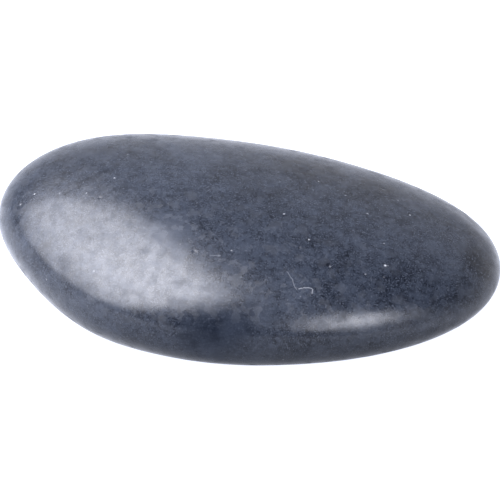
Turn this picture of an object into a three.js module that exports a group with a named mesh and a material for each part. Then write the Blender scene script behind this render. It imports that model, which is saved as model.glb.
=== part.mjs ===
// River pebble: one stone, worn to a smooth uneven oval and lying on its flattest side.
// Millimetres, +Z up. The broad end points to -X, the slim end to +X, and the back to +Y.
// The origin is under the middle of the stone, on the surface that it lies on.

import * as THREE from 'three';
import { mergeVertices } from 'three/addons/utils/BufferGeometryUtils.js';

// Driving dimensions

const HALF_LENGTH = 39.9;

// The stone is an oval whose sections change from end to end. Each row gives a size at the middle
// of the length, and then what its slope, arch and sway add on the way to the slim end.
const HALF_WIDTH = { middle: 23.5, slope: -2.5, arch: 0.4, sway: 3.0 };
const HALF_THICKNESS = { middle: 12.5, slope: -2.4, arch: 0.8, sway: 0 };
const TOWARDS_BACK = { middle: 0, slope: 0, arch: 2.6, sway: -1.4 };
const ABOVE_MIDDLE = { middle: 0, slope: 0, arch: 0.9, sway: 0 };

// The underside is worn flat at this depth below the middle, and the flat runs out softly.
const SEAT_DEPTH = 11.4;
const SEAT_RUN_OUT = 1.5;

// The worn skin swells out softly at some places and is flatter at others. Turn is the direction
// round the stone from the slim end towards the back, and rise the direction above its middle, in
// degrees. Reach is how far each swell extends and share is how much it adds at its peak, both as
// shares of the way from the middle to the skin.
const SWELLS = [
  { turn: 349, rise: -9, reach: 0.6, share: 0.004 },
  { turn: 285, rise: -30, reach: 0.4, share: -0.007 },
  { turn: 256, rise: -29, reach: 0.4, share: -0.011 },
  { turn: 234, rise: -24, reach: 0.5, share: 0.007 },
  { turn: 216, rise: -17, reach: 0.5, share: -0.018 },
  { turn: 196, rise: -2, reach: 0.7, share: 0.012 },
  { turn: 173, rise: 13, reach: 0.6, share: -0.007 },
  { turn: 108, rise: 35, reach: 0.5, share: -0.017 },
];

// The skin is divided into this many squares along each edge of the six sides of a block.
const SQUARES_PER_EDGE = 20;

const STONE_COLOUR = 0x535963;
const STONE_ROUGHNESS = 0.4;

// One size of the stone at a place along it, from -1 at the broad end to 1 at the slim end.
function sizeAt({ middle, slope, arch, sway }, along) {
  return middle + slope * along + arch * along ** 2 + sway * along ** 3;
}

// A ball of radius 1 with its skin divided evenly: a block blown up to a ball.
function dividedBall(squares) {
  const block = new THREE.BoxGeometry(2, 2, 2, squares, squares, squares);
  block.deleteAttribute('normal');
  block.deleteAttribute('uv');
  const ball = mergeVertices(block);
  const places = ball.getAttribute('position');
  const evenly = (share) => Math.tan((share * Math.PI) / 4);
  const place = new THREE.Vector3();
  for (let i = 0; i < places.count; i += 1) {
    place.fromBufferAttribute(places, i);
    place.set(evenly(place.x), evenly(place.y), evenly(place.z)).normalize();
    places.setXYZ(i, place.x, place.y, place.z);
  }
  return ball;
}

// The direction of length 1 that has this turn and rise.
function direction({ turn, rise }) {
  const round = THREE.MathUtils.degToRad(turn);
  const above = THREE.MathUtils.degToRad(rise);
  const level = Math.cos(above);
  return new THREE.Vector3(Math.cos(round) * level, Math.sin(round) * level, Math.sin(above));
}

// Moves a place on the ball out by the swells that reach it.
function swollen(place) {
  const growths = SWELLS.map((swell) => {
    const nearness = 1 - place.distanceTo(direction(swell)) / swell.reach;
    return swell.share * THREE.MathUtils.smoothstep(nearness, 0, 1);
  });
  const growth = growths.reduce((total, part) => total + part, 1);
  return place.multiplyScalar(growth);
}

// Height above the seat once everything below it has worn away.
function wornHeight(height) {
  const aboveSeat = Math.max(height + SEAT_DEPTH, 0);
  return aboveSeat ** 2 / (aboveSeat + SEAT_RUN_OUT);
}

// Turns a place on the ball into its place on the stone.
function toStone(place) {
  const along = place.x;
  const back = sizeAt(HALF_WIDTH, along) * place.y + sizeAt(TOWARDS_BACK, along);
  const height = sizeAt(HALF_THICKNESS, along) * place.z + sizeAt(ABOVE_MIDDLE, along);
  return place.set(HALF_LENGTH * along, back, wornHeight(height));
}

function pebbleGeometry() {
  const stone = dividedBall(SQUARES_PER_EDGE);
  const places = stone.getAttribute('position');
  const place = new THREE.Vector3();
  for (let i = 0; i < places.count; i += 1) {
    toStone(swollen(place.fromBufferAttribute(places, i)));
    places.setXYZ(i, place.x, place.y, place.z);
  }
  stone.computeBoundingBox();
  const middle = stone.boundingBox.getCenter(new THREE.Vector3());
  stone.translate(-middle.x, -middle.y, 0);
  stone.computeVertexNormals();
  return stone;
}

const stoneMaterial = new THREE.MeshStandardMaterial({
  color: STONE_COLOUR,
  roughness: STONE_ROUGHNESS,
  metalness: 0,
});

const pebble = new THREE.Mesh(pebbleGeometry(), stoneMaterial);
pebble.name = 'pebble';

const riverPebble = new THREE.Group();
riverPebble.add(pebble);

export default riverPebble;
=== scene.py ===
"""River pebble: the looks of one water-worn stone with a satin polish.

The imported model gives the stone's form and size. This script gives that form a fine round skin with
the small wear of a real stone, and dresses it in a procedural finish. It lights the stone as the
photograph does: a large soft light at the left, a weak one at the back left, a narrow one at the
front right, and a pale floor that glows like a light table.
All sizes are in metres and all angles in degrees, unless a name says otherwise.
"""

import logging
import math
import operator
from dataclasses import dataclass
from enum import Enum
from functools import reduce
from typing import Union

import bpy
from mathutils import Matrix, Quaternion, Vector


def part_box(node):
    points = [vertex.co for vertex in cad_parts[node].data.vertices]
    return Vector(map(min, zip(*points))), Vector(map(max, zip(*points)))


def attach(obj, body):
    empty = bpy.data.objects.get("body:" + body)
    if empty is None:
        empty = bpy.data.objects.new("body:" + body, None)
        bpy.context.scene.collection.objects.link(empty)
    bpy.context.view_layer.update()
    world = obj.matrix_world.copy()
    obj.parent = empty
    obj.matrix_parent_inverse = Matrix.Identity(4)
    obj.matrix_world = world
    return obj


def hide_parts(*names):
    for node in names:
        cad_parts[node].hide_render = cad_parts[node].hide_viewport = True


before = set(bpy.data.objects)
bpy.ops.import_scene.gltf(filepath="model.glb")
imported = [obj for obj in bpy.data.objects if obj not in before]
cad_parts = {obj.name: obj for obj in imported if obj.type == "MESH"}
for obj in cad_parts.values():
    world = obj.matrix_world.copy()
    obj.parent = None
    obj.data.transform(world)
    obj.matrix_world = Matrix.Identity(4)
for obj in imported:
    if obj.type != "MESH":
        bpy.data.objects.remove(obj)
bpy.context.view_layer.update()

logging.basicConfig(level=logging.INFO, format="%(message)s")
log = logging.getLogger("pebble")

MILLIMETRE = 0.001
ROOT_BODY = "root"
STONE_NODE = "pebble"

PHOTO_SIDE = 500
PIXEL_CENTRE = 0.5

# What a random pattern is on average
PATTERN_MIDDLE = 0.5

# The Mix node's sockets when it mixes colours
MIX_SHARE = 0
MIX_LOW_COLOUR = 6
MIX_HIGH_COLOUR = 7
MIX_COLOUR_RESULT = 2

Pixel = tuple[float, float]
Colour = tuple[float, float, float]
Socket = bpy.types.NodeSocket
Number = Union["Value", float]
Given = Union["Value", Socket, float, tuple]


# What the photograph shows, by its pixels


@dataclass(frozen=True)
class Speck:
    """A small pale grain in the skin of the stone; the brightest one is partly a painted glint."""

    pixel: Pixel
    radius: float
    strength: float


@dataclass(frozen=True)
class Pit:
    """A small hollow in the skin of the stone."""

    pixel: Pixel
    radius: float
    depth: float


@dataclass(frozen=True)
class Scratch:
    """A hair-fine pale line that runs over the skin from pixel to pixel."""

    pixels: tuple[Pixel, ...]
    strength: float


@dataclass(frozen=True)
class Patch:
    """A soft-edged patch of the skin. Its strength says how much it adds, or takes away if negative."""

    pixel: Pixel
    radius: float
    strength: float


PlacedSpeck = tuple[Vector, Speck]
PlacedPatch = tuple[Vector, Patch]
PlacedScratch = tuple[list[Vector], Scratch]

SPECKS = (
    Speck((231.0, 250.0), 0.20 * MILLIMETRE, 0.52),
    Speck((114.0, 177.5), 0.20 * MILLIMETRE, 0.79),
    Speck((34.0, 193.5), 0.22 * MILLIMETRE, 0.84),
    Speck((20.0, 204.0), 0.26 * MILLIMETRE, 0.45),
    Speck((86.0, 192.5), 0.22 * MILLIMETRE, 0.47),
    Speck((59.0, 192.6), 0.24 * MILLIMETRE, 0.25),
    Speck((127.0, 154.0), 0.18 * MILLIMETRE, 0.36),
    Speck((93.4, 270.6), 0.24 * MILLIMETRE, 0.32),
    Speck((46.0, 279.0), 0.20 * MILLIMETRE, 0.32),
    Speck((283.6, 213.4), 0.20 * MILLIMETRE, 0.85),
    Speck((308.5, 239.0), 0.22 * MILLIMETRE, 0.62),
    Speck((329.6, 266.0), 0.24 * MILLIMETRE, 0.28),
    Speck((365.0, 273.7), 0.22 * MILLIMETRE, 0.33),
    # This brightest speck is partly a painted glint on a pale chip.
    Speck((384.7, 265.0), 0.30 * MILLIMETRE, 1.00),
    Speck((383.4, 276.7), 0.24 * MILLIMETRE, 0.12),
    Speck((383.6, 243.0), 0.20 * MILLIMETRE, 0.34),
    Speck((409.5, 214.5), 0.20 * MILLIMETRE, 0.60),
    Speck((345.0, 195.0), 0.20 * MILLIMETRE, 0.30),
    Speck((318.0, 181.0), 0.20 * MILLIMETRE, 0.45),
    Speck((367.0, 213.0), 0.24 * MILLIMETRE, 0.42),
    Speck((397.5, 200.0), 0.20 * MILLIMETRE, 0.33),
    Speck((300.0, 247.0), 0.30 * MILLIMETRE, 0.12),
    Speck((282.6, 359.0), 0.20 * MILLIMETRE, 0.30),
    Speck((107.0, 139.0), 0.30 * MILLIMETRE, 0.17),
    Speck((186.0, 140.0), 0.26 * MILLIMETRE, 0.17),
    Speck((300.0, 296.0), 0.16 * MILLIMETRE, 0.22),
)

PITS = (
    Pit((99.0, 197.4), 0.30 * MILLIMETRE, 0.05 * MILLIMETRE),
    Pit((193.0, 250.5), 0.26 * MILLIMETRE, 0.05 * MILLIMETRE),
    Pit((383.4, 188.3), 0.50 * MILLIMETRE, 0.06 * MILLIMETRE),
    Pit((388.0, 266.5), 0.40 * MILLIMETRE, 0.06 * MILLIMETRE),
    Pit((182.0, 159.0), 0.30 * MILLIMETRE, 0.03 * MILLIMETRE),
)

# Soft patches where the colour is paler, and darker where the strength is negative. A few are the stone's
# own tone. Most are painted light and painted shade: painted glow round the large highlight and on the
# top of the crown, painted reflection of the floor along the front edge, and painted shade at the front
# and at the top right of the crown.
TONE_AND_PAINTED_LIGHT_PATCHES = (
    Patch((165.0, 235.0), 7.0 * MILLIMETRE, 0.42),
    Patch((195.0, 155.0), 8.0 * MILLIMETRE, 0.24),
    Patch((165.0, 143.0), 4.0 * MILLIMETRE, 0.14),
    Patch((440.0, 258.0), 6.0 * MILLIMETRE, 0.12),
    Patch((250.0, 250.0), 7.0 * MILLIMETRE, 0.16),
    Patch((288.0, 300.0), 7.0 * MILLIMETRE, 0.20),
    Patch((330.0, 270.0), 5.0 * MILLIMETRE, -0.12),
    Patch((400.0, 285.0), 5.0 * MILLIMETRE, -0.07),
    Patch((210.0, 330.0), 5.5 * MILLIMETRE, -0.16),
    Patch((300.0, 340.0), 5.0 * MILLIMETRE, -0.19),
    Patch((100.0, 318.0), 6.0 * MILLIMETRE, 0.24),
    Patch((250.0, 352.0), 4.5 * MILLIMETRE, 0.05),
    Patch((178.0, 350.0), 4.0 * MILLIMETRE, 0.14),
    Patch((212.0, 357.0), 4.5 * MILLIMETRE, 0.30),
    Patch((255.0, 360.0), 4.5 * MILLIMETRE, 0.24),
    Patch((305.0, 358.0), 4.0 * MILLIMETRE, 0.14),
    Patch((350.0, 340.0), 4.0 * MILLIMETRE, 0.14),
    Patch((180.0, 178.0), 8.0 * MILLIMETRE, 0.20),
    Patch((310.0, 168.0), 8.0 * MILLIMETRE, -0.32),
    Patch((375.0, 190.0), 8.0 * MILLIMETRE, -0.30),
    Patch((60.0, 175.0), 5.0 * MILLIMETRE, -0.10),
    Patch((478.0, 262.0), 4.0 * MILLIMETRE, -0.60),
)

DULL_PATCHES = (
    Patch((212.0, 334.0), 7.0 * MILLIMETRE, 0.80),
    Patch((240.0, 322.0), 6.0 * MILLIMETRE, 0.40),
    Patch((185.0, 338.0), 5.0 * MILLIMETRE, 0.25),
    Patch((64.0, 265.0), 2.4 * MILLIMETRE, 0.30),
    Patch((84.0, 286.0), 2.2 * MILLIMETRE, 0.22),
    Patch((207.0, 287.0), 3.0 * MILLIMETRE, -0.10),
    Patch((80.0, 232.0), 1.2 * MILLIMETRE, 0.16),
)

SCRATCHES = (
    Scratch(
        pixels=(
            (287.0, 271.5),
            (289.6, 275.7),
            (292.0, 279.0),
            (292.9, 283.0),
            (294.2, 286.4),
            (296.4, 289.2),
        ),
        strength=0.24,
    ),
    Scratch(
        pixels=(
            (298.0, 288.4),
            (300.0, 288.0),
            (303.5, 287.3),
            (308.0, 287.2),
            (310.5, 287.8),
            (312.2, 288.8),
            (312.0, 290.5),
            (311.4, 293.0),
        ),
        strength=0.52,
    ),
    Scratch(
        pixels=(
            (209.5, 255.0),
            (220.0, 255.2),
        ),
        strength=0.20,
    ),
    Scratch(
        pixels=(
            (385.5, 265.0),
            (388.3, 265.3),
        ),
        strength=0.30,
    ),
)


# Shader maths as Python expressions


class Maths(Enum):
    """What a Math node can work out from numbers."""

    ADD = "ADD"
    SUBTRACT = "SUBTRACT"
    MULTIPLY = "MULTIPLY"
    POWER = "POWER"
    ABSOLUTE = "ABSOLUTE"
    MAXIMUM = "MAXIMUM"


class VectorMaths(Enum):
    """What a Vector Math node can work out from places and directions."""

    ADD = "ADD"
    SUBTRACT = "SUBTRACT"
    SCALE = "SCALE"
    DOT_PRODUCT = "DOT_PRODUCT"
    DISTANCE = "DISTANCE"


class Rise(Enum):
    """How a Map Range node rises from its low end to its high end."""

    EVEN = "LINEAR"
    SOFT = "SMOOTHSTEP"


@dataclass(frozen=True)
class Pattern:
    """A soft random pattern: its largest features' size, and its finer layers' number and strength."""

    size: float
    detail: float = 2.0
    roughness: float = 0.6


class Value:
    """A number at each place on a surface, held by a shader socket, for use in Python expressions."""

    def __init__(self, graph: "Graph", socket: Socket) -> None:
        """Wraps a socket.

        Args:
            graph: The graph that the socket's node belongs to.
            socket: The output socket that gives the number.
        """
        self.graph = graph
        self.socket = socket

    def __add__(self, other: Number) -> "Value":
        """Adds, as in mask + 1."""
        return self.graph.maths(Maths.ADD, self, other)

    def __radd__(self, other: Number) -> "Value":
        """Adds, as in 1 + mask."""
        return self.graph.maths(Maths.ADD, other, self)

    def __sub__(self, other: Number) -> "Value":
        """Takes away, as in mask - 1."""
        return self.graph.maths(Maths.SUBTRACT, self, other)

    def __rsub__(self, other: Number) -> "Value":
        """Takes away, as in 1 - mask."""
        return self.graph.maths(Maths.SUBTRACT, other, self)

    def __mul__(self, other: Number) -> "Value":
        """Multiplies, as in mask * 2."""
        return self.graph.maths(Maths.MULTIPLY, self, other)

    def __rmul__(self, other: Number) -> "Value":
        """Multiplies, as in 2 * mask."""
        return self.graph.maths(Maths.MULTIPLY, other, self)

    def __pow__(self, other: Number) -> "Value":
        """Raises to a power, as in reach ** 2."""
        return self.graph.maths(Maths.POWER, self, other)

    def __abs__(self) -> "Value":
        """The number without its sign."""
        return self.graph.maths(Maths.ABSOLUTE, self, 0.0)

    def most(self, other: Number) -> "Value":
        """The larger of this and another number."""
        return self.graph.maths(Maths.MAXIMUM, self, other)

    def ramp(self, low: float, high: float, rise: Rise = Rise.SOFT) -> "Value":
        """Rises from 0 to 1.

        Args:
            low: The number up to which the result is 0.
            high: The number from which the result is 1.
            rise: How it rises between the two.

        Returns:
            The rising share. With low above high it falls instead.
        """
        ends = {"Value": self, "From Min": low, "From Max": high}
        made = self.graph.node("ShaderNodeMapRange", {"interpolation_type": rise.value}, ends)
        return Value(self.graph, made.outputs["Result"])


class Graph:
    """The nodes of one material, of a light or of the world, added one at a time."""

    def __init__(self, owner: Union[bpy.types.Material, bpy.types.Light, bpy.types.World]) -> None:
        """Empties the owner's node tree.

        Args:
            owner: The material, the light or the world that the nodes are for.
        """
        owner.use_nodes = True
        self.tree = owner.node_tree
        self.tree.nodes.clear()

    def node(self, kind: str, settings: dict | None = None, inputs: dict | None = None) -> bpy.types.Node:
        """Adds one node.

        Args:
            kind: The node's type.
            settings: The node's own properties, which are set first.
            inputs: A value or a link for each socket, by the socket's name or number.

        Returns:
            The new node.
        """
        made = self.tree.nodes.new(kind)
        for name, setting in (settings or {}).items():
            setattr(made, name, setting)
        for name, given in (inputs or {}).items():
            self.feed(made.inputs[name], given)
        return made

    def feed(self, socket: Socket, given: Given) -> None:
        """Links a socket, or sets it.

        Args:
            socket: The input socket.
            given: A Value, an output socket, a number or a tuple.
        """
        if isinstance(given, Value):
            self.tree.links.new(given.socket, socket)
        elif isinstance(given, Socket):
            self.tree.links.new(given, socket)
        else:
            socket.default_value = given

    def maths(self, operation: Maths, first: Number, second: Number) -> Value:
        """Adds a Math node.

        Args:
            operation: What it works out.
            first: The first number.
            second: The second number.

        Returns:
            The node's result.
        """
        made = self.node("ShaderNodeMath", {"operation": operation.value}, {0: first, 1: second})
        return Value(self, made.outputs[0])

    def vector_maths(self, operation: VectorMaths, inputs: dict) -> bpy.types.Node:
        """Adds a Vector Math node and returns it."""
        return self.node("ShaderNodeVectorMath", {"operation": operation.value}, inputs)

    def vector(self, operation: VectorMaths, first: Given, second: Given) -> Socket:
        """Works out a vector from two vectors.

        Args:
            operation: One that gives a vector.
            first: The first vector.
            second: The second vector.

        Returns:
            The resulting vector's socket.
        """
        return self.vector_maths(operation, {0: first, 1: second}).outputs["Vector"]

    def measure(self, operation: VectorMaths, first: Given, second: Given) -> Value:
        """Works out a number from two vectors.

        Args:
            operation: One that gives a number.
            first: The first vector.
            second: The second vector.

        Returns:
            The resulting number.
        """
        made = self.vector_maths(operation, {0: first, 1: second})
        return Value(self, made.outputs["Value"])

    def scaled(self, vector: Given, share: Number) -> Socket:
        """Multiplies a vector or a colour by a number.

        Args:
            vector: The vector or the colour.
            share: The number.

        Returns:
            The resulting vector's socket.
        """
        return self.vector_maths(VectorMaths.SCALE, {0: vector, "Scale": share}).outputs["Vector"]

    def parts(self, vector: Socket) -> tuple[Value, Value, Value]:
        """Splits a place or a direction into its X, Y and Z.

        Args:
            vector: The socket of the place or the direction.

        Returns:
            The three numbers.
        """
        made = self.node("ShaderNodeSeparateXYZ", {}, {0: vector})
        return tuple(Value(self, made.outputs[axis]) for axis in "XYZ")

    def mix(self, share: Number, low: Given, high: Given) -> Socket:
        """Mixes two colours.

        Args:
            share: How much of the high colour there is, from 0 to 1.
            low: The colour at 0.
            high: The colour at 1.

        Returns:
            The mixed colour's socket.
        """
        inputs = {MIX_SHARE: share, MIX_LOW_COLOUR: opaque(low), MIX_HIGH_COLOUR: opaque(high)}
        return self.node("ShaderNodeMix", {"data_type": "RGBA"}, inputs).outputs[MIX_COLOUR_RESULT]

    def noise(self, place: Socket, pattern: Pattern) -> Value:
        """Adds a soft random pattern.

        Args:
            place: The socket of the places to read it at.
            pattern: The pattern.

        Returns:
            A number that is PATTERN_MIDDLE on average.
        """
        inputs = {
            "Vector": place,
            "Scale": 1 / pattern.size,
            "Detail": pattern.detail,
            "Roughness": pattern.roughness,
        }
        return Value(self, self.node("ShaderNodeTexNoise", {}, inputs).outputs[0])

    def swing(self, place: Socket, pattern: Pattern) -> Value:
        """Adds a soft random pattern that is 0 on average."""
        return self.noise(place, pattern) - PATTERN_MIDDLE


def opaque(colour: Given) -> Given:
    """Gives a plain colour its alpha, and leaves a socket as it is."""
    return (*colour, 1.0) if isinstance(colour, tuple) else colour


# The studio


@dataclass(frozen=True)
class Viewpoint:
    """Where the photograph was taken from: in front of the stone, looking down at it.

    The camera sees what lies between nearest and farthest.
    """

    azimuth: float = 12.5
    elevation: float = 37.8
    distance: float = 0.48
    lens_mm: float = 222.4
    sensor_mm: float = 36.0
    aim: tuple[float, float, float] = (0.00098, 0.0, 0.01071)
    nearest: float = 0.048
    farthest: float = 9.6

    def back(self) -> Vector:
        """The direction from the stone to the camera."""
        turn = math.radians(self.azimuth)
        rise = math.radians(self.elevation)
        level = math.cos(rise)
        return Vector((math.sin(turn) * level, -math.cos(turn) * level, math.sin(rise)))

    def position(self) -> Vector:
        """Where the camera stands."""
        return Vector(self.aim) + self.back() * self.distance

    def sight(self, pixel: Pixel) -> Vector:
        """The direction in which the camera sees one pixel of the photograph.

        Args:
            pixel: The pixel, counted from the top left corner.

        Returns:
            A direction of length 1 that leads away from the camera.
        """
        turn = self.back().to_track_quat("Z", "Y")
        pixels_per_unit = self.lens_mm / self.sensor_mm * PHOTO_SIDE
        right = (pixel[0] + PIXEL_CENTRE - PHOTO_SIDE / 2) / pixels_per_unit
        down = (pixel[1] + PIXEL_CENTRE - PHOTO_SIDE / 2) / pixels_per_unit
        return (turn @ Vector((right, -down, -1.0))).normalized()

    def place_camera(self) -> None:
        """Makes the scene's camera."""
        camera = bpy.data.objects.new("camera", bpy.data.cameras.new("camera"))
        bpy.context.scene.collection.objects.link(camera)
        camera.location = self.position()
        camera.rotation_mode = "QUATERNION"
        camera.rotation_quaternion = self.back().to_track_quat("Z", "Y")
        camera.data.lens = self.lens_mm
        camera.data.sensor_width = self.sensor_mm
        camera.data.clip_start = self.nearest
        camera.data.clip_end = self.farthest
        bpy.context.scene.camera = camera
        log.info("camera: %.2f m away", self.distance)


@dataclass(frozen=True)
class SoftLight:
    """A studio soft box with rounded corners, whose light falls off at its edges and to one side.

    Its half width and half height are metres sideways for each metre away from the stone. Its light
    falls from full at fall_to to left_share and bottom_share at fall_from, counted in half widths
    and half heights from its middle. A lean shifts its top to the left and its bottom to the right.
    """

    name: str
    azimuth: float
    elevation: float
    radiance: float
    half_width: float
    half_height: float
    roll: float = 0.0
    colour: Colour = (0.95, 0.96, 1.05)
    distance: float = 1.2
    squareness: float = 2.6
    edge_softness: float = 0.2
    left_share: float = 1.0
    bottom_share: float = 1.0
    fall_from: float = -1.0
    fall_to: float = 0.3
    lean: float = 0.0
    margin: float = 1.2

    def place(self, target: Vector) -> None:
        """Makes the light.

        Args:
            target: The point that the light's face is turned to.
        """
        turn = math.radians(self.azimuth)
        rise = math.radians(self.elevation)
        level = math.cos(rise)
        away = Vector((math.cos(turn) * level, math.sin(turn) * level, math.sin(rise)))
        lamp = bpy.data.lights.new(self.name, "AREA")
        lamp.shape = "RECTANGLE"
        lamp.size = 2 * self.half_width * self.margin * self.distance
        lamp.size_y = 2 * self.half_height * self.margin * self.distance
        lamp.color = self.colour
        lamp.energy = self.radiance * math.pi * lamp.size * lamp.size_y
        self.shade_face(lamp)
        light = bpy.data.objects.new(self.name, lamp)
        bpy.context.scene.collection.objects.link(light)
        light.location = target + away * self.distance
        light.rotation_mode = "QUATERNION"
        roll = Quaternion((0, 0, 1), math.radians(self.roll))
        light.rotation_quaternion = away.to_track_quat("Z", "Y") @ roll
        log.info("light %s: %.2f by %.2f m", self.name, lamp.size, lamp.size_y)

    def shade_face(self, lamp: bpy.types.Light) -> None:
        """Rounds the corners of the face, and lets its light fall off.

        Args:
            lamp: The light's data.
        """
        graph = Graph(lamp)
        face = graph.node("ShaderNodeNewGeometry").outputs["Parametric"]
        across, upwards, _ = graph.parts(face)
        across = (across * 2 - 1) * self.margin
        upwards = (upwards * 2 - 1) * self.margin
        across = across + upwards * self.lean
        outwards = abs(across) ** self.squareness + abs(upwards) ** self.squareness
        share = outwards.ramp(1 + self.edge_softness, 1 - self.edge_softness)
        for along, least in ((across, self.left_share), (upwards, self.bottom_share)):
            share = share * (least + (1 - least) * along.ramp(self.fall_from, self.fall_to))
        glow = graph.node("ShaderNodeEmission", {}, {"Strength": share})
        graph.node("ShaderNodeOutputLight", {}, {"Surface": glow.outputs[0]})


@dataclass(frozen=True)
class Table:
    """The plain pale floor, which glows as a light table does, and more so on three sides of the stone.

    The glows at the left, the right and the back add to the table's own. Each span says how far from
    the middle of the stone a glow starts and is full. The left glow also fades towards the back, and
    the back glow ends at some distance behind the stone.
    """

    size: float = 8.0
    paint: Colour = (0.02, 0.02, 0.02)
    colour: Colour = (1.0, 1.04, 1.20)
    glow: float = 1.0
    left_glow: float = 1.0
    left_span: tuple[float, float] = (-0.019, -0.045)
    left_back_span: tuple[float, float] = (0.045, 0.0)
    right_glow: float = 0.65
    right_span: tuple[float, float] = (0.036, 0.058)
    back_glow: float = 0.3
    back_span: tuple[float, float] = (0.0095, 0.029)
    back_end_span: tuple[float, float] = (0.085, 0.055)

    def lay(self) -> None:
        """Makes the floor."""
        deselect_all()
        bpy.ops.mesh.primitive_plane_add(size=self.size, location=(0.0, 0.0, 0.0))
        floor = bpy.context.active_object
        floor.name = "floor"
        floor.data.materials.append(self.material())
        log.info("floor: %.0f m wide", self.size)

    def material(self) -> bpy.types.Material:
        """Makes the glowing paint of the floor.

        Returns:
            The material.
        """
        made = bpy.data.materials.new("pale floor")
        graph = Graph(made)
        place = graph.node("ShaderNodeTexCoord").outputs["Object"]
        sideways, backwards, _ = graph.parts(place)
        left = sideways.ramp(*self.left_span) * backwards.ramp(*self.left_back_span)
        right = sideways.ramp(*self.right_span)
        behind = backwards.ramp(*self.back_span) * backwards.ramp(*self.back_end_span)
        glow = self.glow + left * self.left_glow + right * self.right_glow + behind * self.back_glow
        paint = {
            "Base Color": opaque(self.paint),
            "Roughness": 1.0,
            "Specular IOR Level": 0.0,
            "Emission Color": graph.scaled(self.colour, glow),
            "Emission Strength": 1.0,
        }
        shader = graph.node("ShaderNodeBsdfPrincipled", {}, paint)
        graph.node("ShaderNodeOutputMaterial", {}, {"Surface": shader.outputs[0]})
        return made


@dataclass(frozen=True)
class Surroundings:
    """The glow all round: dim in front, brighter at the back, and brighter low on the right.

    The back and right glows add to the dim one. Each span says where a glow starts and where it is
    full, as the part of a direction of length 1 that points that way, or upwards for the low span.
    """

    colour: Colour = (0.15, 0.152, 0.166)
    back_glow: float = 0.75
    back_turn: float = 78.0
    back_span: tuple[float, float] = (0.1, 0.9)
    right_glow: float = 1.0
    right_span: tuple[float, float] = (0.2, 0.9)
    low_span: tuple[float, float] = (0.75, 0.05)

    def light_up(self) -> None:
        """Gives the world its glow."""
        world = bpy.data.worlds.new("studio glow")
        bpy.context.scene.world = world
        graph = Graph(world)
        direction = graph.node("ShaderNodeTexCoord").outputs["Generated"]
        right, _, up = graph.parts(direction)
        turn = math.radians(self.back_turn)
        backwards = (math.cos(turn), math.sin(turn), 0.0)
        back = graph.measure(VectorMaths.DOT_PRODUCT, direction, backwards)
        low_right = right.ramp(*self.right_span) * up.ramp(*self.low_span)
        own = self.colour[0]
        strength = 1.0 + back.ramp(*self.back_span) * (self.back_glow / own)
        strength = strength + low_right * (self.right_glow / own)
        glow = {"Color": opaque(self.colour), "Strength": strength}
        background = graph.node("ShaderNodeBackground", {}, glow)
        graph.node("ShaderNodeOutputWorld", {}, {"Surface": background.outputs[0]})
        log.info("surroundings: glow %.2f", own)


@dataclass(frozen=True)
class Studio:
    """The floor, the soft lights and the surroundings."""

    table: Table = Table()
    surroundings: Surroundings = Surroundings()
    lights: tuple[SoftLight, ...] = (
        SoftLight(
            name="large soft light",
            azimuth=-160.4,
            elevation=42.9,
            radiance=17.4,
            half_width=0.81,
            half_height=0.772,
            squareness=3.8,
            edge_softness=0.40,
            left_share=0.47,
            bottom_share=0.48,
            lean=0.08,
        ),
        SoftLight(
            name="left reflector",
            azimuth=150.0,
            elevation=39.0,
            radiance=1.6,
            half_width=0.38,
            half_height=0.38,
            squareness=2.0,
            edge_softness=0.8,
        ),
        SoftLight(
            name="narrow soft light",
            azimuth=-57.6,
            elevation=29.0,
            roll=-32.0,
            radiance=14.6,
            half_width=0.148,
            half_height=0.315,
            edge_softness=0.6,
            bottom_share=0.32,
        ),
    )

    def build(self, target: Vector) -> None:
        """Makes the whole studio.

        Args:
            target: The middle of the stone.
        """
        self.table.lay()
        for light in self.lights:
            light.place(target)
        self.surroundings.light_up()
        bpy.context.scene.view_settings.view_transform = "Standard"


# The stone's finish


@dataclass(frozen=True)
class Marks:
    """The marks of the skin and the patches of painted light and painted shade, each with its place on
    the stone.
    """

    specks: list[PlacedSpeck]
    tone_and_painted_light_patches: list[PlacedPatch]
    dull_patches: list[PlacedPatch]
    scratches: list[PlacedScratch]


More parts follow.
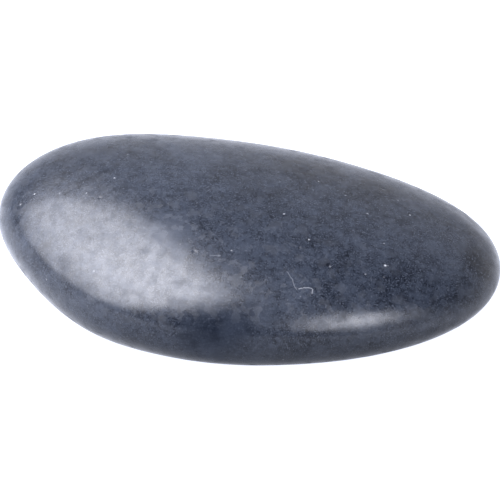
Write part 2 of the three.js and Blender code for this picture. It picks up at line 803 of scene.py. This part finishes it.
@dataclass(frozen=True)
class WornStone:
    """Dark blue-grey stone of very fine grain, worn to a satin polish.

    A dull finish is mixed in where the polish is thin or gone: a little all over, much in the dull
    patches, and most at the foot. The foot is the lower part of the long sides, where the colour is also
    painted darker as painted shade near the floor. Each span says where a mask starts and where it is
    full.
    """

    dark: Colour = (0.0008, 0.0016, 0.0040)
    pale: Colour = (0.0190, 0.0235, 0.0335)
    paleness: float = 0.5
    grain: Pattern = Pattern(0.24 * MILLIMETRE)
    grain_strength: float = 1.35
    grain_relief: float = 0.003 * MILLIMETRE
    mottle: Pattern = Pattern(0.80 * MILLIMETRE)
    mottle_strength: float = 1.1
    cloud: Pattern = Pattern(3.0 * MILLIMETRE, roughness=0.55)
    cloud_strength: float = 0.95
    fleck: Colour = (0.0235, 0.0275, 0.0360)
    flecks: Pattern = Pattern(0.24 * MILLIMETRE, detail=0.0, roughness=0.5)
    fleck_span: tuple[float, float] = (0.62, 0.80)
    # The pale marks' colour is bright enough to serve as a painted glint as well.
    pale_mark_and_glint: Colour = (0.200, 0.206, 0.220)
    speck_core: float = 0.2
    scratch_half_width: float = 0.08 * MILLIMETRE
    scratch_core: float = 0.3
    roughness: float = 0.22
    rough_patches: Pattern = Pattern(2.0 * MILLIMETRE)
    rough_patch_span: tuple[float, float] = (0.45, 0.75)
    rough_patch_strength: float = 0.17
    refraction: float = 1.45
    thin: Pattern = Pattern(1.7 * MILLIMETRE, detail=3.0)
    thin_least: float = 0.11
    thin_strength: float = 0.90
    thin_grain: float = 0.14
    dull_gloss: float = 0.02
    dull_evenness: float = 0.8
    dull_cloud_evenness: float = 0.45
    # Painted shade: how much darker the foot's colour is painted, near the floor.
    foot_painted_shade: float = 0.08
    foot_height_span: tuple[float, float] = (12.0 * MILLIMETRE, 4.5 * MILLIMETRE)
    foot_left_span: tuple[float, float] = (-20.0 * MILLIMETRE, 2.0 * MILLIMETRE)
    foot_right_span: tuple[float, float] = (38.0 * MILLIMETRE, 28.0 * MILLIMETRE)

    def material(self, marks: Marks) -> bpy.types.Material:
        """Makes the finish.

        Args:
            marks: The marks of the skin with their places on the stone.

        Returns:
            The material.
        """
        made = bpy.data.materials.new("worn stone")
        graph = Graph(made)
        place = graph.node("ShaderNodeTexCoord").outputs["Object"]
        grain = graph.noise(place, self.grain)
        foot = self.foot_mask(graph, place)
        worn = 1 - (1 - foot) * (1 - self.patch_sum(graph, place, marks.dull_patches))
        # Painted light and painted shade: the patches lighten and darken the colour, and the foot's
        # colour is painted darker.
        tone_and_painted_light = self.patch_sum(graph, place, marks.tone_and_painted_light_patches) - foot * self.foot_painted_shade
        body = self.body_colour(graph, place, grain, tone_and_painted_light, worn)
        specks = self.speck_mask(graph, place, marks.specks)
        spots = specks.most(self.scratch_mask(graph, place, marks.scratches))
        rough = graph.noise(place, self.rough_patches).ramp(*self.rough_patch_span)
        relief = {"Strength": 1.0, "Distance": self.grain_relief, "Height": grain}
        skin = {
            "Base Color": graph.mix(spots, body, self.pale_mark_and_glint),
            "Roughness": self.roughness + rough * self.rough_patch_strength,
            "IOR": self.refraction,
            "Normal": graph.node("ShaderNodeBump", {}, relief).outputs[0],
        }
        polished = graph.node("ShaderNodeBsdfPrincipled", {}, skin)
        skin["Specular IOR Level"] = self.dull_gloss
        dull = graph.node("ShaderNodeBsdfPrincipled", {}, skin)
        thin = self.thin_least + graph.swing(place, self.thin) * self.thin_strength
        thin = thin - (grain - PATTERN_MIDDLE) * self.thin_grain
        ends = {0: 1 - (1 - worn) * (1 - thin), 1: polished.outputs[0], 2: dull.outputs[0]}
        both = graph.node("ShaderNodeMixShader", {}, ends)
        graph.node("ShaderNodeOutputMaterial", {}, {"Surface": both.outputs[0]})
        return made

    def foot_mask(self, graph: Graph, place: Socket) -> Value:
        """Where the foot is.

        Args:
            graph: The finish's graph.
            place: The socket of the places on the stone.

        Returns:
            A share from 0, away from the foot, to 1.
        """
        along, _, height = graph.parts(place)
        sides = along.ramp(*self.foot_left_span) * along.ramp(*self.foot_right_span)
        return height.ramp(*self.foot_height_span) * sides

    def patch_sum(self, graph: Graph, place: Socket, patches: list[PlacedPatch]) -> Value:
        """What the soft-edged patches add up to.

        Args:
            graph: The finish's graph.
            place: The socket of the places on the stone.
            patches: Each patch with its place.

        Returns:
            A number that is 0 away from the patches.
        """
        parts = []
        for middle, patch in patches:
            away = graph.measure(VectorMaths.DISTANCE, place, tuple(middle))
            parts.append(away.ramp(patch.radius, 0.0) * patch.strength)
        return reduce(operator.add, parts)

    def body_colour(
        self, graph: Graph, place: Socket, grain: Value, tone_and_painted_light: Value, worn: Value
    ) -> Socket:
        """The stone's colour: fine grain, soft mottling and sparse pale flecks, with painted light and
        painted shade from the patches and the foot.

        Args:
            graph: The finish's graph.
            place: The socket of the places on the stone.
            grain: The finest pattern.
            tone_and_painted_light: How much the patches lighten or darken each place, mostly as painted
                light and painted shade, with the foot's painted shade.
            worn: How far the polish is gone at each place, and the grain with it.

        Returns:
            The colour's socket.
        """
        kept = 1 - worn * self.dull_evenness
        fine = (grain - PATTERN_MIDDLE) * self.grain_strength
        fine = fine + graph.swing(place, self.mottle) * self.mottle_strength
        clouds = graph.swing(place, self.cloud) * self.cloud_strength
        clouds = clouds * (1 - worn * self.dull_cloud_evenness)
        # The patches' painted light and painted shade and the foot's painted shade are added to the tone
        # here.
        tone = self.paleness + tone_and_painted_light + fine * kept + clouds
        body = graph.mix(tone, self.dark, self.pale)
        flecks = graph.noise(place, self.flecks).ramp(*self.fleck_span)
        return graph.mix(flecks * kept, body, self.fleck)

    def speck_mask(self, graph: Graph, place: Socket, specks: list[PlacedSpeck]) -> Value:
        """Where the pale specks are, the brightest of them partly a painted glint.

        Args:
            graph: The finish's graph.
            place: The socket of the places on the stone.
            specks: Each speck with its place.

        Returns:
            A share that is 0 between the specks.
        """
        spots = []
        for middle, speck in specks:
            away = graph.measure(VectorMaths.DISTANCE, place, tuple(middle))
            spots.append(away.ramp(speck.radius, speck.radius * self.speck_core) * speck.strength)
        return reduce(Value.most, spots)

    def scratch_mask(self, graph: Graph, place: Socket, scratches: list[PlacedScratch]) -> Value:
        """Where the hair-fine pale lines are.

        Args:
            graph: The finish's graph.
            place: The socket of the places on the stone.
            scratches: The points of each line, and the line itself.

        Returns:
            A share that is 0 away from the lines.
        """
        core = self.scratch_half_width * self.scratch_core
        strokes = []
        for points, scratch in scratches:
            for start, end in zip(points[:-1], points[1:]):
                away = self.distance_to_line(graph, place, start, end)
                strokes.append(away.ramp(self.scratch_half_width, core) * scratch.strength)
        return reduce(Value.most, strokes)

    def distance_to_line(self, graph: Graph, place: Socket, start: Vector, end: Vector) -> Value:
        """How far each place is from one straight stretch.

        Args:
            graph: The finish's graph.
            place: The socket of the places on the stone.
            start: The stretch's first end.
            end: The stretch's other end.

        Returns:
            The distance in metres.
        """
        stretch = end - start
        from_start = graph.vector(VectorMaths.SUBTRACT, place, tuple(start))
        along = graph.measure(VectorMaths.DOT_PRODUCT, from_start, tuple(stretch))
        share = along.ramp(0.0, stretch.length_squared, Rise.EVEN)
        nearest = graph.vector(VectorMaths.ADD, graph.scaled(tuple(stretch), share), tuple(start))
        return graph.measure(VectorMaths.DISTANCE, place, nearest)


# The stone


def deselect_all() -> None:
    """Deselects every object, because the imported solid comes selected."""
    bpy.ops.object.select_all(action="DESELECT")


def select_only(piece: bpy.types.Object) -> None:
    """Makes one object the selected and active one."""
    deselect_all()
    piece.select_set(True)
    bpy.context.view_layer.objects.active = piece


@dataclass
class Pebble:
    """The stone: the solid's form with a fine round skin, its small wear and its finish."""

    view: Viewpoint
    finish: WornStone
    name: str = "stone"
    refinements: int = 2
    merge_gap: float = 0.001 * MILLIMETRE
    wave_size: float = 3.5 * MILLIMETRE
    wave_layers: int = 1
    wave_height: float = 0.03 * MILLIMETRE
    seat_clearance: float = 0.4 * MILLIMETRE
    pit_cuts: int = 3
    pit_surround: float = 1.5

    def build(self) -> bpy.types.Object:
        """Models the stone and dresses it.

        Returns:
            The finished piece.
        """
        stone = self.copy_solid()
        self.round_skin(stone)
        self.wear_waves(stone)
        for pit in PITS:
            self.press(stone, pit)
        self.dress(stone)
        triangles = sum(len(face.vertices) - 2 for face in stone.data.polygons)
        log.info("stone: %d triangles", triangles)
        return stone

    def copy_solid(self) -> bpy.types.Object:
        """Copies the solid's mesh, merges it and pairs its triangles into squares.

        Returns:
            The new object, at the origin.
        """
        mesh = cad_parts[STONE_NODE].data.copy()
        mesh.materials.clear()
        stone = bpy.data.objects.new(self.name, mesh)
        bpy.context.scene.collection.objects.link(stone)
        select_only(stone)
        bpy.ops.object.mode_set(mode="EDIT")
        bpy.ops.mesh.select_all(action="SELECT")
        bpy.ops.mesh.remove_doubles(threshold=self.merge_gap)
        bpy.ops.mesh.tris_convert_to_quads(face_threshold=math.pi, shape_threshold=math.pi)
        bpy.ops.object.mode_set(mode="OBJECT")
        return stone

    def round_skin(self, stone: bpy.types.Object) -> None:
        """Divides the skin finely and rounds it.

        Args:
            stone: The stone's object.
        """
        select_only(stone)
        finer = stone.modifiers.new("finer skin", "SUBSURF")
        finer.levels = self.refinements
        finer.render_levels = self.refinements
        bpy.ops.object.modifier_apply(modifier=finer.name)
        bpy.ops.object.shade_smooth()

    def wear_waves(self, stone: bpy.types.Object) -> None:
        """Gives the skin the very shallow waves of uneven wear, all over but under the stone.

        Args:
            stone: The stone's object.
        """
        clear = stone.vertex_groups.new(name="clear of the seat")
        for vertex in stone.data.vertices:
            share = min(vertex.co.z / self.seat_clearance, 1.0)
            clear.add([vertex.index], share, "REPLACE")
        texture = bpy.data.textures.new("wear", "CLOUDS")
        texture.noise_scale = self.wave_size
        texture.noise_depth = self.wave_layers
        select_only(stone)
        waves = stone.modifiers.new("waves", "DISPLACE")
        waves.texture = texture
        waves.texture_coords = "LOCAL"
        waves.strength = self.wave_height
        waves.vertex_group = clear.name
        bpy.ops.object.modifier_apply(modifier=waves.name)
        stone.vertex_groups.clear()

    def point_at(self, stone: bpy.types.Object, pixel: Pixel) -> tuple[Vector, Vector]:
        """Finds the place on the stone that the photograph shows at a pixel.

        Args:
            stone: The stone's object.
            pixel: The pixel of the photograph.

        Returns:
            The place and the direction square to the skin there.

        Raises:
            ValueError: If the pixel doesn't lie on the stone.
        """
        hit, place, normal, _ = stone.ray_cast(self.view.position(), self.view.sight(pixel))
        if not hit:
            raise ValueError(f"pixel {pixel} isn't on the stone")
        return place.copy(), normal.copy()

    def press(self, stone: bpy.types.Object, pit: Pit) -> None:
        """Presses one small round hollow into the skin, which is divided more finely there first.

        Args:
            stone: The stone's object.
            pit: The hollow.
        """
        middle, normal = self.point_at(stone, pit.pixel)
        select_only(stone)
        bpy.ops.object.mode_set(mode="EDIT")
        bpy.ops.mesh.select_all(action="DESELECT")
        bpy.ops.object.mode_set(mode="OBJECT")
        for face in stone.data.polygons:
            face.select = (face.center - middle).length < pit.radius * self.pit_surround
        bpy.ops.object.mode_set(mode="EDIT")
        bpy.ops.mesh.select_mode(type="FACE")
        bpy.ops.mesh.subdivide(number_cuts=self.pit_cuts, smoothness=1.0)
        bpy.ops.mesh.select_mode(type="VERT")
        bpy.ops.mesh.select_all(action="DESELECT")
        bpy.ops.object.mode_set(mode="OBJECT")
        nearest = min(stone.data.vertices, key=lambda vertex: (vertex.co - middle).length)
        nearest.select = True
        bpy.ops.object.mode_set(mode="EDIT")
        bpy.ops.transform.translate(
            value=-normal * pit.depth,
            use_proportional_edit=True,
            proportional_edit_falloff="SMOOTH",
            proportional_size=pit.radius,
        )
        bpy.ops.object.mode_set(mode="OBJECT")

    def dress(self, stone: bpy.types.Object) -> None:
        """Gives the stone its finish, with the marks where the photograph shows them.

        Args:
            stone: The stone's object.
        """

        def place(pixel: Pixel) -> Vector:
            """The place on the stone at a pixel."""
            return self.point_at(stone, pixel)[0]

        marks = Marks(
            specks=[(place(speck.pixel), speck) for speck in SPECKS],
            # Most of these patches are painted light and painted shade in the stone's colour.
            tone_and_painted_light_patches=[(place(patch.pixel), patch) for patch in TONE_AND_PAINTED_LIGHT_PATCHES],
            dull_patches=[(place(patch.pixel), patch) for patch in DULL_PATCHES],
            scratches=[([place(pixel) for pixel in line.pixels], line) for line in SCRATCHES],
        )
        stone.data.materials.append(self.finish.material(marks))


def main() -> None:
    """Builds the studio and the stone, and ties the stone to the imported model."""
    low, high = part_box(STONE_NODE)
    view = Viewpoint()
    view.place_camera()
    Studio().build((low + high) / 2)
    stone = Pebble(view, WornStone()).build()
    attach(stone, ROOT_BODY)
    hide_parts(STONE_NODE)


if __name__ == "__main__":
    main()
